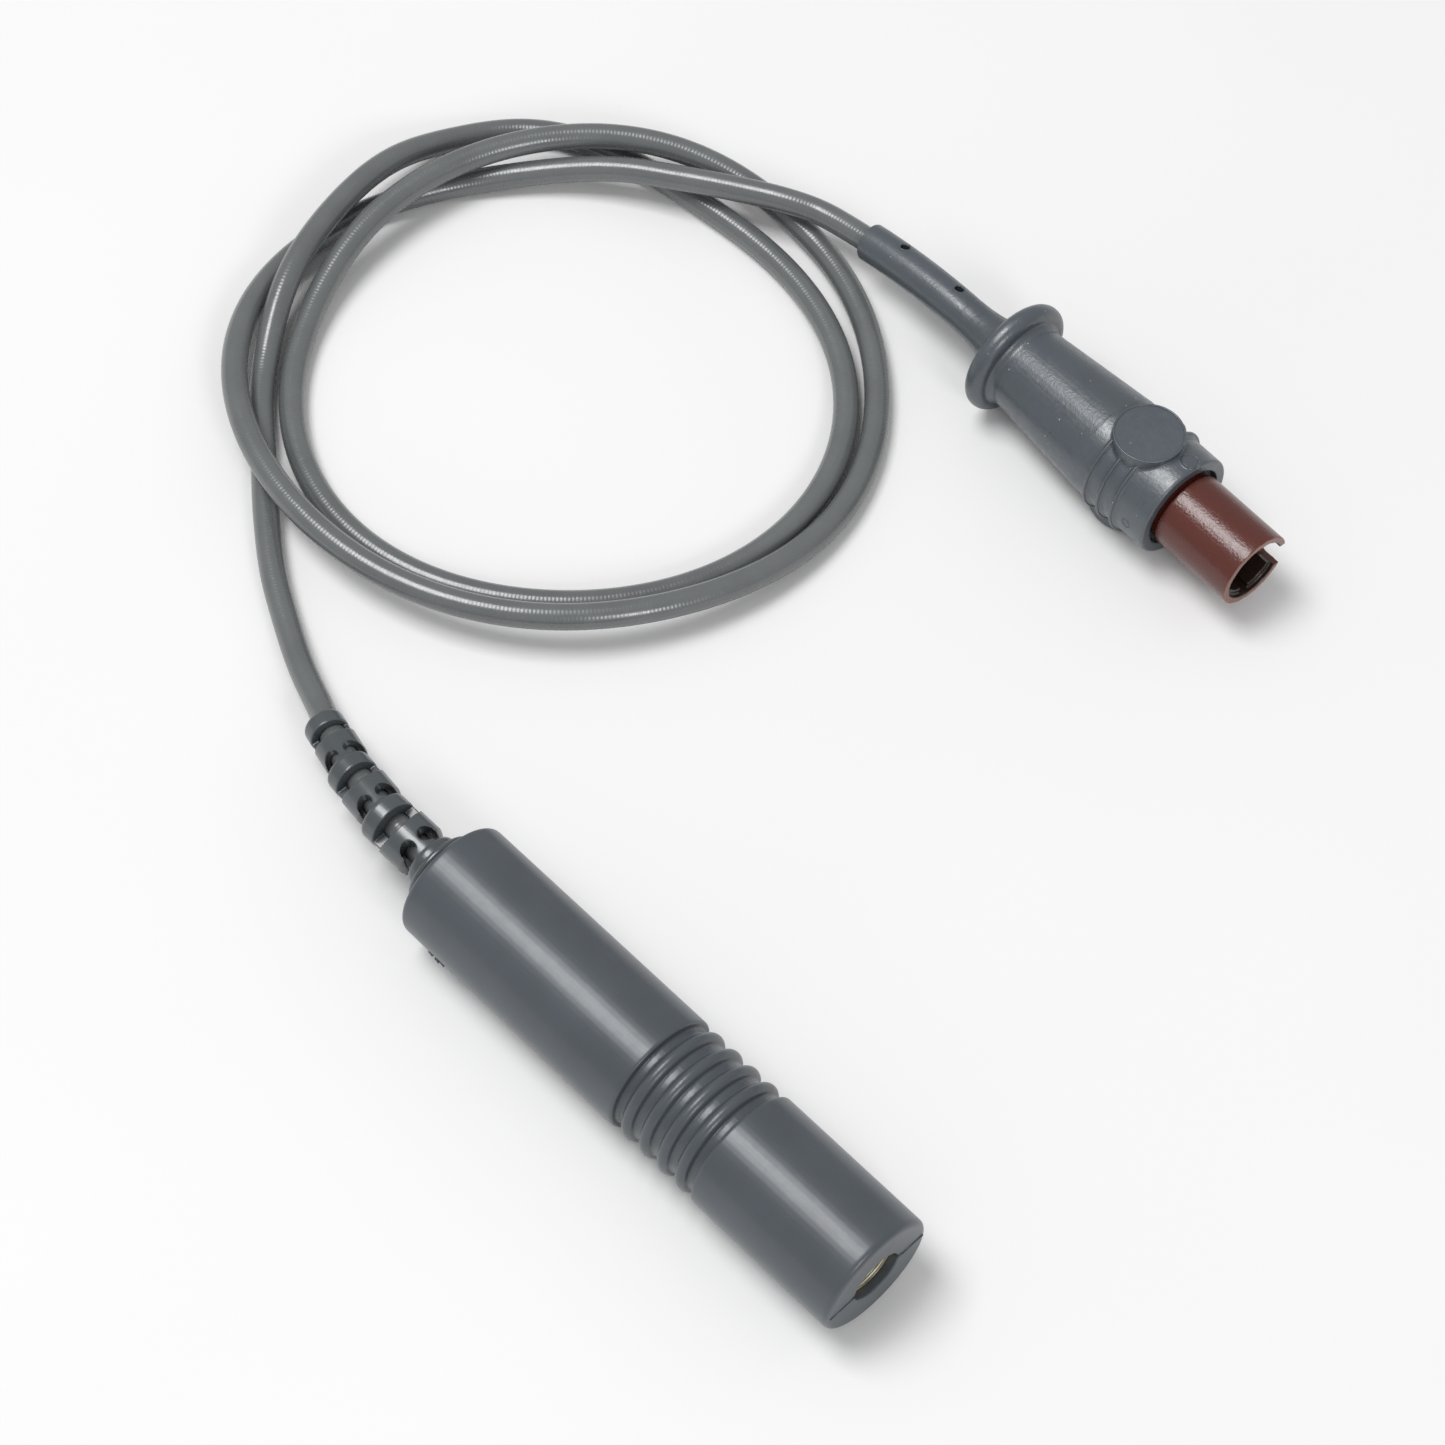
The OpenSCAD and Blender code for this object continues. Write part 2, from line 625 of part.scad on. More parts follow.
module plug_boot() {
    foot_r = boot_d / 2 + step;
    throat = flare_d / 2 - foot_r;
    flare_r = (flare_len * flare_len + throat * throat) / (2 * throat);
    color(moulded) difference() {
        union() {
            from_flange() rotate([0, 180, 0]) rotate_extrude() difference() {
                square([flare_d / 2, flare_len]);
                translate([foot_r + flare_r, flare_len]) circle(flare_r, $fn = 180);
            }
            from_flange(-0.2) cylinder(h = boot_root + 0.2, r = boot_d / 2 + 0.5);
            from_flange(-flare_len - 0.5) cylinder(h = flare_len, r = boot_d / 2 - step);
            boot_frame(flare_len) bend(boot_radius, boot_bend, boot_d / 2);
        }
        from_flange(-flare_len - 0.2) cylinder(h = flare_len + boot_root + 1, r = bore_r + step);
        boot_frame(flare_len) bend(boot_radius, boot_bend + 1, bore_r);
        for (back = mark_backs) along_boot(back - flare_len)
            rotate([0, 0, mark_roll]) translate([-boot_d, 0, 0]) rotate([0, 90, 0])
                cylinder(h = boot_d / 2 + 0.4, d = pin_hole_d, $fn = 32);
    }
}

module boot_cord() {
    color(jacket) {
        from_flange(-flare_len - 0.5) cylinder(h = flare_len + plug_cord_end + 0.5, r = cord_r - step);
        boot_frame(flare_len) bend(boot_radius, boot_bend, cord_r);
    }
}

module plug_grip() {
    fillet_from = rim_t - 0.4;
    body_from = fillet_from + rim_fillet;
    nose_from = grip_len - nose_len;
    color(moulded) difference() {
        union() {
            from_flange() sleeve(flange_d / 2, rim_t, 1.3, 1.3);
            from_flange(fillet_from) rotate_extrude() difference() {
                square([waist_d / 2 + rim_fillet - 0.2, rim_fillet]);
                translate([waist_d / 2 + rim_fillet, rim_fillet]) circle(rim_fillet);
            }
            from_flange(body_from - 0.1) cylinder(h = nose_from - body_from + 0.1, d1 = waist_d + 2 * step, d2 = nose_d - 2 * step);
            from_flange(nose_from - eps) sleeve(nose_d / 2, nose_len + eps, step, 0.35);
            from_flange(grip_len - pad_back) rotate([0, -90, 0]) cylinder(h = pad_h, d = pad_d);
            from_flange(grip_len - low_pad_back) rotate([0, 90, 0]) cylinder(h = low_pad_h, d = low_pad_d);
            ribs();
            from_flange(grip_len - 1.15) rotate([0, 0, -stud_roll]) translate([-nose_d / 2 - 0.2, 0, 0])
                rotate([0, 90, 0]) cylinder(h = 1.6, d = 2.2);
        }
        from_flange(-1) cylinder(h = boot_root + 1 + eps, r = boot_d / 2 + 0.5 + fit);
        from_flange(boot_root) cylinder(h = grip_len, r = core_r + fit);
        from_flange(grip_len - shell_in) cylinder(h = shell_in + 1, r = shell_root_d / 2 + fit);
        from_flange(grip_len - 1.1) cylinder(h = 2, r = shell_r + 0.45);
    }
}

// Thin round ribs round the grip, which run into the two pads
module ribs() {
    first = grip_len - pad_back - pad_d / 2 + rib_in;
    for (i = [0 : rib_count - 1]) from_flange(first + i * rib_pitch)
        rotate_extrude() translate([nose_d / 2, 0]) circle(rib_r, $fn = 32);
}

// Ridge along the shell's inner wall between two clock angles
module ridge(from, to) {
    rotate([0, 0, from]) rotate_extrude(angle = to - from)
        translate([shell_bore - ridge_h, 0]) square([ridge_h + 0.2, shell_depth - 0.6]);
}

module keyed_shell() {
    color(brown) {
        difference() {
            union() {
                from_flange(grip_len - shell_in) cylinder(h = shell_in + root_out + 0.5, d = shell_root_d);
                from_flange(grip_len + root_out) cylinder(h = shell_out - root_out, r = shell_r);
            }
            from_flange(grip_len - shell_in - 1) cylinder(h = shell_in + shell_out + 2, r = shell_bore);
            from_flange(tip_z - key_depth) rotate([0, 0, 90 + key_angle])
                translate([0, -key_w / 2, 0]) cube([shell_d, key_w, key_depth + 1]);
        }
        from_flange(carrier_front) {
            ridge(-62, -20);
            ridge(0, 58);
        }
    }
}

module contact_carrier() {
    color(brown * 0.6) from_flange(carrier_rear) difference() {
        cylinder(h = carrier_t, r = core_r);
        for (side = [-1, 1]) translate([0, side * pin_pitch / 2, -1]) cylinder(h = carrier_t + 2, r = pin_d / 2 + fit);
    }
}

module contact_pins() {
    color(brass) for (side = [-1, 1]) from_flange(carrier_rear) translate([0, side * pin_pitch / 2, 0]) {
        cylinder(h = carrier_t + pin_out - pin_d / 2, d = pin_d);
        translate([0, 0, carrier_t + pin_out - pin_d / 2]) sphere(d = pin_d);
        difference() {
            translate([0, 0, -cup_len]) cylinder(h = cup_len, r = cup_r);
            translate([0, 0, -cup_len - 1]) cylinder(h = 3, r = strand_d / 2 + 0.15);
        }
    }
}

// One conductor from the cord's end to the cup of a pin
module plug_conductor(side, r_strand, r_wire) {
    start = [0, side * wire_space, plug_cord_end];
    knee = [0, side * wire_space, plug_cord_end + 1.5];
    strip_at = [0, side * pin_pitch / 2, carrier_rear - cup_len - 0.8];
    from_flange() {
        rod(start, knee, r_wire);
        translate(knee) sphere(r_wire * ball);
        rod(knee, strip_at, r_wire);
        translate(strip_at) sphere(r_wire * ball);
        rod(strip_at, [0, side * pin_pitch / 2, carrier_rear - cup_len + 1.6], r_strand);
    }
}

module plug_signal_wire() color([0.9, 0.9, 0.88]) plug_conductor(-1, strand_d / 2, wire_d / 2);

module plug_return_wire() color([0.1, 0.1, 0.1]) plug_conductor(1, strand_d / 2, wire_d / 2);

module plug_crimp() color(steel) from_flange(crimp_at) crimp();

module plug_premould() {
    color(natural) difference() {
        from_flange(boot_root) cylinder(h = carrier_rear - boot_root, r = core_r);
        from_flange(boot_root - 1) cylinder(h = plug_cord_end - boot_root + 1, r = cord_r + fit);
        from_flange(crimp_at - fit) cylinder(h = crimp_len + 2 * fit, r = crimp_d / 2 + fit);
        for (side = [-1, 1]) {
            from_flange(carrier_rear - cup_len - fit) translate([0, side * pin_pitch / 2, 0])
                cylinder(h = cup_len + 1, r = cup_r + fit);
            plug_conductor(side, strand_d / 2 + fit, wire_d / 2 + fit);
        }
    }
}

barrel_shell();
jack_bushing();
jack_frame();
jack_liner();
terminal_block();
tip_spring();
tip_tag();
solder_joints();
signal_wire();
return_wire();
barrel_premould();
barrel_crimp();
strain_relief();
relief_cord();
lead_cord();
cord_coil();
plug_cord();
plug_boot();
boot_cord();
plug_grip();
keyed_shell();
contact_carrier();
contact_pins();
plug_premould();
plug_crimp();
plug_signal_wire();
plug_return_wire();
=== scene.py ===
import math
import bmesh
import bpy
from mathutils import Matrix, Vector


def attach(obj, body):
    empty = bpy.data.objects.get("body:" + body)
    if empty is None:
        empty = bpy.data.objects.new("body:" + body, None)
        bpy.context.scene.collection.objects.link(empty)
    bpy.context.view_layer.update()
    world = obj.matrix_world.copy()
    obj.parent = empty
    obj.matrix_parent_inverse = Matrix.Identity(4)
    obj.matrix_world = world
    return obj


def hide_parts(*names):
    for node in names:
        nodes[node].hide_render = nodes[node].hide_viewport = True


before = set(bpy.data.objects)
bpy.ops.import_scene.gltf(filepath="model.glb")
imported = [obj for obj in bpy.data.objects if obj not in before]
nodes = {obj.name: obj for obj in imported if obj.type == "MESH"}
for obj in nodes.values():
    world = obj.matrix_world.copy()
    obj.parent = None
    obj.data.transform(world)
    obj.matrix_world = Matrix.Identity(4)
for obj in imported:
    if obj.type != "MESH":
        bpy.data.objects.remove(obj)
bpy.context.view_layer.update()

MM = 0.001
LEAD = "lead"    # the body that everything but the tip spring rides on

# -------------------------------------------------- camera, solved from the photo

LENS_ANGLE = math.radians(22.83)
VIEW_AZ, VIEW_EL, VIEW_DIST = math.radians(45.82), math.radians(58), 0.425
VIEW_CENTRE = Vector((-0.0307, 0.0399, 0.0))


def camera():
    data = bpy.data.cameras.new("camera")
    data.angle = LENS_ANGLE
    data.clip_start = 0.01
    ob = bpy.data.objects.new("camera", data)
    bpy.context.scene.collection.objects.link(ob)
    back = Vector((math.sin(VIEW_AZ) * math.cos(VIEW_EL), -math.cos(VIEW_AZ) * math.cos(VIEW_EL),
                   math.sin(VIEW_EL)))
    ob.location = VIEW_CENTRE + back * VIEW_DIST
    ob.rotation_euler = back.to_track_quat("Z", "Y").to_euler()
    bpy.context.scene.camera = ob


camera()

# -------------------------------------------------- the route of the cord, as in part.scad
# All sizes from here to the shaders are in millimetres.

FACE_X, AXIS_Z = 33.8, 7.6    # the barrel's front face, and the height of its axis
CORD_R = 1.65
RELIEF_BEND, RELIEF_LEN, RELIEF_TILT, DOMES = 50.0, 24.0, math.radians(35), 4.0
COIL_AT, COIL_R, COIL_LIFT, COIL_FROM = (-81.0, 61.0), 39.5, 3.95, 257.0
COIL_START, COIL_END = 20, 860
# Angle, height and width of each swell of the coil's radius, and angle and width of each
# stretch that is lifted over another turn.
SWELLS = [(44, -1.8, 33), (110, 5.5, 28), (161, -7.5, 66), (301, -3.9, 50), (413, -5, 77),
          (472, -1.5, 93), (603, 1.3, 27), (768, 5.2, 43), (850, -7.8, 97)]
HUMPS = [(67, 28), (468, 54), (693, 73), (899, 60)]
LEAD_POINTS = [(-69.9, 8.2, 2.5), (-76, 11.1, 1.8), (-83.3, 15, 1.7), (-90.4, 19.9, 1.7)]
TAIL_POINTS = [(-84.5, 95.4, 5.9), (-79, 98.2, 6.1), (-73.9, 100.3, 5.8)]
PLUG_AT, PLUG_Z, PLUG_TURN = (-41.65, 99.85), 7.8, math.radians(-3.8)
BOOT_LEN, FLARE_LEN, BOOT_BEND, BOOT_ROLL = 24.9, 7.0, math.radians(10), math.radians(-20)

# -------------------------------------------------- sizes of part.scad under the fine marks

BARREL_LEN, SOCKET_R, COLLAR_R = 67.6, 3.225, 4.8
GRIP_LEN, NOSE_R, SHELL_BORE, SHELL_OUT = 31.3, 7.0, 4.2, 12.2
PAD_U, PAD_R, PAD_H = GRIP_LEN - 7.0, 4.35, 7.7
RIBS, RIB_U, RIB_PITCH, RIB_PROUD = 3, GRIP_LEN - 9.65, 2.3, 0.35
STUD_U, STUD_R, STUD_PROUD, STUD_ROLL = GRIP_LEN - 1.15, 1.0, 0.2, math.radians(10)
BOOT_R, PIN_HOLE_R, PIN_HOLES_AT, PIN_HOLE_ROLL = 2.5, 0.6, (2.7, 12.3), math.radians(17)


def bell(x, w, power):
    return math.exp(-abs(x / w) ** power)


def coil_point(a):
    """Point of the coil's middle line at a degrees from its start."""
    r = COIL_R + sum(h * bell(a - c, w, 2) for c, h, w in SWELLS)
    z = CORD_R + COIL_LIFT * min(1, sum(bell(a - c, w, 4) for c, w in HUMPS))
    t = math.radians(COIL_FROM - a)
    return Vector((COIL_AT[0] + r * math.cos(t), COIL_AT[1] + r * math.sin(t), z))


def coil_heading(a):
    return (coil_point(a + 1) - coil_point(a - 1)).normalized()


def from_plug(v):
    c, s = math.cos(PLUG_TURN), math.sin(PLUG_TURN)
    return Vector((v[0] * c - v[1] * s, v[0] * s + v[1] * c, v[2]))


def plug_point(u, side=0.0, up=0.0):
    """Point u along the plug's axis from the back of its flange."""
    return Vector((PLUG_AT[0], PLUG_AT[1], PLUG_Z)) + from_plug((u, side, up))


def boot_point(s):
    """Point of the boot's bent part, s along it from the flare."""
    r = (BOOT_LEN - FLARE_LEN) / BOOT_BEND
    out = r * (1 - math.cos(s / r))
    return plug_point(-FLARE_LEN - r * math.sin(s / r),
                      out * math.sin(BOOT_ROLL), -out * math.cos(BOOT_ROLL))


def relief_point(s):
    """Point of the relief's middle line, s along it from the collar."""
    out = RELIEF_BEND * (1 - math.cos(s / RELIEF_BEND))
    return Vector((-FACE_X - DOMES - RELIEF_BEND * math.sin(s / RELIEF_BEND),
                   out * math.cos(RELIEF_TILT), AXIS_Z - out * math.sin(RELIEF_TILT)))


def spline(points, step=0.9):
    """Catmull-Rom through the points, then evenly spaced."""
    p = [Vector(q) for q in points]
    fine = []
    for i in range(len(p) - 1):
        a, b, c, d = p[max(i - 1, 0)], p[i], p[i + 1], p[min(i + 2, len(p) - 1)]
        for k in range(12):
            t = k / 12
            fine.append(0.5 * (2 * b + (c - a) * t + (2 * a - 5 * b + 4 * c - d) * t * t
                               + (3 * b - a - 3 * c + d) * t ** 3))
    fine.append(p[-1])
    out, left = [fine[0]], step
    for a, b in zip(fine, fine[1:]):
        run = (b - a).length
        while run >= left:
            a = a + (b - a) * (left / run)
            run = (b - a).length
            out.append(a)
            left = step
        left -= run
    out.append(fine[-1])
    return out


def cord_route():
    level = Vector((coil_heading(COIL_START).x, coil_heading(COIL_START).y, 0)).normalized()
    first, last = coil_point(COIL_START), coil_point(COIL_END)
    straight = 2 * CORD_R    # one cord diameter, the step of the straight runs
    pts = [Vector((x, 0, AXIS_Z)) for x in (-15.8, -22, -30, -36)]
    pts += [relief_point(s) for s in (0, 4, 8, 12, 16, 20, RELIEF_LEN)]
    tip = relief_point(RELIEF_LEN)
    pts.append(tip + straight * (tip - relief_point(RELIEF_LEN - 0.1)).normalized())
    pts += LEAD_POINTS
    pts += [first - 2 * straight * level, first - straight * level]
    pts += [coil_point(a) for a in range(COIL_START, COIL_END + 1, 5)]
    pts += [last + k * straight * coil_heading(COIL_END) for k in (1, 2)]
    pts += TAIL_POINTS
    arc = BOOT_LEN - FLARE_LEN
    pts += [boot_point(s) for s in (arc, 13.5, 9, 4.5, 0)]
    pts += [plug_point(u) for u in (-3, 3, 8, 13)]
    return spline(pts)


# -------------------------------------------------- mesh helpers


def new_object(name, mesh, body=LEAD):
    """A new piece that rides on body."""
    ob = bpy.data.objects.new(name, mesh)
    bpy.context.scene.collection.objects.link(ob)
    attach(ob, body)
    return ob


def circle(centre, a, b, radius, count=72):
    """Points of a circle round centre in the plane of the unit vectors a and b."""
    turns = [2 * math.pi * k / count for k in range(count)]
    return [centre + radius * (math.cos(t) * a + math.sin(t) * b) for t in turns]


def ring(bm, p, t, side, radius, sides):
    """New vertices of a ring round p, square to t."""
    s = t.cross(Vector(side)).normalized()
    return [bm.verts.new(q * MM) for q in circle(p, s, s.cross(t), radius, sides)]


def tube_mesh(name, path, radius, sides=28):
    """Round tube along path, with UV in millimetres along it and 0..1 round it."""
    mesh = bpy.data.meshes.new(name)
    bm = bmesh.new()
    uv = bm.loops.layers.uv.new("along")
    rings, run = [], [0.0]
    for i, p in enumerate(path):
        t = (path[min(i + 1, len(path) - 1)] - path[max(i - 1, 0)]).normalized()
        rings.append(ring(bm, p, t, (0, 0, 1), radius, sides))
        if i:
            run.append(run[-1] + (p - path[i - 1]).length)
    for i in range(len(rings) - 1):
        for k in range(sides):
            n = (k + 1) % sides
            f = bm.faces.new((rings[i][k], rings[i + 1][k], rings[i + 1][n], rings[i][n]))
            f.smooth = True
            for loop, (j, v) in zip(f.loops, ((i, k), (i + 1, k), (i + 1, k + 1), (i, k + 1))):
                loop[uv].uv = (run[j], v / sides)
    bm.faces.new(list(reversed(rings[0])))
    bm.faces.new(rings[-1])
    bmesh.ops.recalc_face_normals(bm, faces=bm.faces)
    bm.to_mesh(mesh)
    bm.free()
    return mesh, run[-1]


SKEW = (0.31, 0.17, 0.94)    # a direction that no bead runs in


def bead(bm, path, radius, closed=False, sides=8):
    """A thin round bead along path, such as a moulding's parting line or edge."""
    rings, count = [], len(path)
    for i, p in enumerate(path):
        before = path[(i - 1) % count] if closed else path[max(i - 1, 0)]
        after = path[(i + 1) % count] if closed else path[min(i + 1, count - 1)]
        rings.append(ring(bm, p, (after - before).normalized(), SKEW, radius, sides))
    for i in range(count if closed else count - 1):
        here, there = rings[i], rings[(i + 1) % count]
        for k in range(sides):
            n = (k + 1) % sides
            bm.faces.new((here[k], there[k], there[n], here[n]))
    if not closed:
        bm.faces.new(list(reversed(rings[0])))
        bm.faces.new(rings[-1])


def soft_solid(name, node_names, voxel, rounds, detail=None, body=LEAD):
    """The nodes' solids as one moulded piece with soft edges, remeshed at voxel millimetres
    and smoothed rounds times. detail adds fine beads to it."""
    bm = bmesh.new()
    for n in node_names:
        bm.from_mesh(nodes[n].data)
    mesh = bpy.data.meshes.new(name)
    bm.to_mesh(mesh)
    bm.free()
    ob = bpy.data.objects.new(name, mesh)
    bpy.context.scene.collection.objects.link(ob)
    fuse = ob.modifiers.new("fuse", "REMESH")
    fuse.mode, fuse.voxel_size, fuse.use_smooth_shade = "VOXEL", voxel * MM, True
    soften = ob.modifiers.new("soften", "SMOOTH")
    soften.factor, soften.iterations = 0.5, rounds
    graph = bpy.context.evaluated_depsgraph_get()
    done = bpy.data.meshes.new_from_object(ob.evaluated_get(graph))
    ob.modifiers.clear()
    ob.data = done
    done.name = name
    if detail:
        bm = bmesh.new()
        bm.from_mesh(done)
        detail(bm)
        bmesh.ops.recalc_face_normals(bm, faces=bm.faces)
        bm.to_mesh(done)
        bm.free()
    for p in done.polygons:
        p.use_smooth = True
    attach(ob, body)
    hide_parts(*node_names)
    return ob


# -------------------------------------------------- materials


class Shader:
    """A node material, built from a few calls."""

    def __init__(self, name):
        self.mat = bpy.data.materials.new(name)
        self.mat.use_nodes = True
        self.tree = self.mat.node_tree
        self.bsdf = self.tree.nodes["Principled BSDF"]

    def node(self, kind, **values):
        n = self.tree.nodes.new(kind)
        for key, value in values.items():
            if key in n.inputs:
                n.inputs[key].default_value = value
            else:
                setattr(n, key, value)
        return n

    def link(self, a, b):
        self.tree.links.new(a, b)
        return b

    def set(self, **values):
        for key, value in values.items():
            self.bsdf.inputs[key.replace("_", " ")].default_value = value

    def noise(self, scale, detail=4.0, rough=0.55, vector=None):
        """scale is about the number of blobs in a metre."""
        n = self.node("ShaderNodeTexNoise", Scale=scale, Detail=detail, Roughness=rough)
        if vector is None:
            vector = self.node("ShaderNodeTexCoord").outputs["Object"]
        self.link(vector, n.inputs["Vector"])
        return n.outputs["Fac"]

    def ramp(self, fac, stops):
        """fac as a blend between two stops, each a position and a colour."""
        r = self.node("ShaderNodeValToRGB")
        self.link(fac, r.inputs["Fac"])
        for element, (position, colour) in zip(r.color_ramp.elements, stops):
            element.position, element.color = position, (*colour, 1)
        return r.outputs["Color"]

    def grey(self, fac, lo, hi, a=0.3, b=0.7):
        """fac's range a to b, as lo to hi."""
        m = self.node("ShaderNodeMapRange")
        self.link(fac, m.inputs["Value"])
        m.inputs["From Min"].default_value = a
        m.inputs["From Max"].default_value = b
        m.inputs["To Min"].default_value = lo
        m.inputs["To Max"].default_value = hi
        return m.outputs["Result"]

    def bump(self, height, strength, distance, after=None):
        """height as a relief of distance metres, laid on the normal after."""
        b = self.node("ShaderNodeBump", Strength=strength, Distance=distance)
        self.link(height, b.inputs["Height"])
        if after is not None:
            self.link(after, b.inputs["Normal"])
        self.link(b.outputs["Normal"], self.bsdf.inputs["Normal"])
        return b.outputs["Normal"]


def rgb(r, g, b):
    """sRGB bytes to linear."""
    return tuple(((c / 255 + 0.055) / 1.055) ** 2.4 if c > 10 else c / 255 / 12.92
                 for c in (r, g, b))


def scaled(col, k):
    return tuple(c * k for c in col)


SPECK = (0.75, 0.76, 0.76, 1)    # colour of the light specks in the moulded plastic


def moulded(name, colour, rough, grain, mottle=0.0, spec=0.5, specks=0.0, streaks=False):
    """Satin moulded plastic. specks is the strength of its light specks. streaks draws the
    surface's grain out along X, as tooling marks do."""
    s = Shader(name)
    s.set(IOR=1.5, Specular_IOR_Level=spec)
    broad = s.noise(90, 3)
    vector = None
    if streaks:
        mapping = s.node("ShaderNodeMapping")
        mapping.inputs["Scale"].default_value = (0.03, 1, 1)
        s.link(s.node("ShaderNodeTexCoord").outputs["Object"], mapping.inputs["Vector"])
        vector = mapping.outputs["Vector"]
    fine = s.noise(2600, 3, 0.6, vector)
    tint = s.ramp(broad, [(0.35, scaled(colour, 0.93)), (0.65, scaled(colour, 1.07))])
    if specks:
        dust = s.node("ShaderNodeMix", data_type="RGBA")
        s.link(s.grey(s.noise(2600, 0), 0, specks, 0.86, 0.88), dust.inputs[0])
        s.link(tint, dust.inputs[6])
        dust.inputs[7].default_value = SPECK
        tint = dust.outputs[2]
    s.link(tint, s.bsdf.inputs["Base Color"])
    patch = s.noise(900, 5, 0.7)
    s.link(s.grey(patch, rough - 0.02 - mottle, rough + 0.02 + mottle), s.bsdf.inputs["Roughness"])
    first = s.bump(fine, strength=0.35, distance=grain)
    s.bump(broad, strength=0.3, distance=0.0003, after=first)
    return s.mat


BRAID_PITCH, BRAID_ENDS = 0.95, 6    # millimetres along the cord, and waves round it


def cord_material(name, colour):
    """Semi-gloss jacket, through which the braid under it shows as a faint crossed pattern."""
    s = Shader(name)
    s.set(IOR=1.5, Specular_IOR_Level=0.85)
    uv = s.node("ShaderNodeUVMap", uv_map="along")
    sep = s.node("ShaderNodeSeparateXYZ")
    s.link(uv.outputs["UV"], sep.inputs["Vector"])

    def wave(turns):
        along = s.node("ShaderNodeMath", operation="MULTIPLY")
        s.link(sep.outputs["X"], along.inputs[0])
        along.inputs[1].default_value = 2 * math.pi / BRAID_PITCH
        around = s.node("ShaderNodeMath", operation="MULTIPLY_ADD")
        s.link(sep.outputs["Y"], around.inputs[0])
        around.inputs[1].default_value = 2 * math.pi * turns
        s.link(along.outputs[0], around.inputs[2])
        sine = s.node("ShaderNodeMath", operation="SINE")
        s.link(around.outputs[0], sine.inputs[0])
        return sine.outputs[0]

    both = s.node("ShaderNodeMath", operation="MULTIPLY")
    s.link(wave(BRAID_ENDS), both.inputs[0])
    s.link(wave(-BRAID_ENDS), both.inputs[1])
    broad = s.noise(160, 3)
    tint = s.ramp(broad, [(0.35, scaled(colour, 0.94)), (0.65, scaled(colour, 1.06))])
    s.link(tint, s.bsdf.inputs["Base Color"])
    s.link(s.grey(s.noise(1500, 4), 0.20, 0.30), s.bsdf.inputs["Roughness"])
    first = s.bump(both.outputs[0], strength=0.3, distance=0.000022)
    second = s.bump(s.noise(3500, 3), strength=0.1, distance=0.00002, after=first)
    s.bump(broad, strength=0.3, distance=0.0002, after=second)
    return s.mat


def glossy(name, colour, rough, grain=0.00001):
    """Glossy moulded plastic. grain is the depth of its fine unevenness, in metres."""
    s = Shader(name)
    s.set(IOR=1.5, Specular_IOR_Level=0.6)
    broad = s.noise(120, 3)
    tint = s.ramp(broad, [(0.35, scaled(colour, 0.93)), (0.65, scaled(colour, 1.06))])
    s.link(tint, s.bsdf.inputs["Base Color"])
    s.link(s.grey(s.noise(1400, 4), rough - 0.04, rough + 0.05), s.bsdf.inputs["Roughness"])
    first = s.bump(s.noise(3000, 3), strength=0.4, distance=grain)
    s.bump(broad, strength=0.25, distance=0.0002, after=first)
    return s.mat


BAND = 0.314    # a wave texture of scale 1 has one band in this length


def metal(name, colour, rough, groove=0.0):
    """groove is the pitch, in metres, of the turning marks of a piece turned about X."""
    s = Shader(name)
    s.set(Metallic=1.0)
    broad = s.noise(260, 4)
    s.link(s.ramp(broad, [(0.3, scaled(colour, 0.8)), (0.7, colour)]), s.bsdf.inputs["Base Color"])
    s.link(s.grey(s.noise(1200, 4), rough - 0.06, rough + 0.08), s.bsdf.inputs["Roughness"])
    normal = s.bump(s.noise(2200, 3), strength=0.3, distance=0.00002)
    if groove:
        marks = s.node("ShaderNodeTexWave", bands_direction="X", Scale=BAND / groove,
                       Distortion=0.6)
        s.link(s.node("ShaderNodeTexCoord").outputs["Object"], marks.inputs["Vector"])
        s.bump(marks.outputs["Fac"], strength=1.0, distance=groove / 2, after=normal)
    return s.mat


def paint(ob, mat):
    ob.data.materials.clear()
    ob.data.materials.append(mat)


BARREL = moulded("barrel grey", rgb(71, 77, 83), 0.33, 0.00001, spec=0.6, streaks=True)
RELIEF = moulded("relief grey", rgb(68, 74, 78), 0.26, 0.00001, spec=0.9)
PLUG = moulded("plug grey", rgb(67, 75, 82), 0.35, 0.00009, 0.07, spec=1.0, specks=0.5)
HOLE = moulded("plug grey in shade", rgb(24, 25, 26), 0.6, 0.00001, spec=0.2)
CORD = cord_material("cord grey", rgb(97, 100, 101))
SHELL = glossy("shell brown", rgb(86, 38, 30), 0.24, 0.00009)
# Darker brown for the walls of the shell's bore: painted shade inside the shell, which is the same
# plastic as outside.
SHELL_INSIDE_SHADE = glossy("shell brown painted shade inside", rgb(40, 27, 22), 0.3)
# Lighter brown for the shell's front rim: a painted highlight on its end face.
SHELL_RIM_HIGHLIGHT = glossy("shell brown rim painted highlight", rgb(122, 78, 64), 0.3)
BUSHING = metal("turned gold-flashed brass", (1.0, 0.93, 0.72), 0.42, 0.0003)
CARRIER = glossy("carrier brown", rgb(44, 32, 27), 0.45)
BRASS = metal("gold-flashed brass", (0.83, 0.60, 0.24), 0.24)
SPRING = metal("spring brass", (0.72, 0.54, 0.27), 0.30)
NICKEL = metal("nickel plate", (0.66, 0.65, 0.62), 0.28)
SOLDER = metal("solder", (0.55, 0.56, 0.58), 0.35)
NATURAL = moulded("natural plastic", rgb(205, 200, 188), 0.45, 0.00002)
BLACK = moulded("black plastic", rgb(30, 30, 32), 0.4, 0.00002)
WHITE_WIRE = glossy("white insulation", rgb(222, 222, 216), 0.32)
BLACK_WIRE = glossy("black insulation", rgb(22, 22, 24), 0.32)

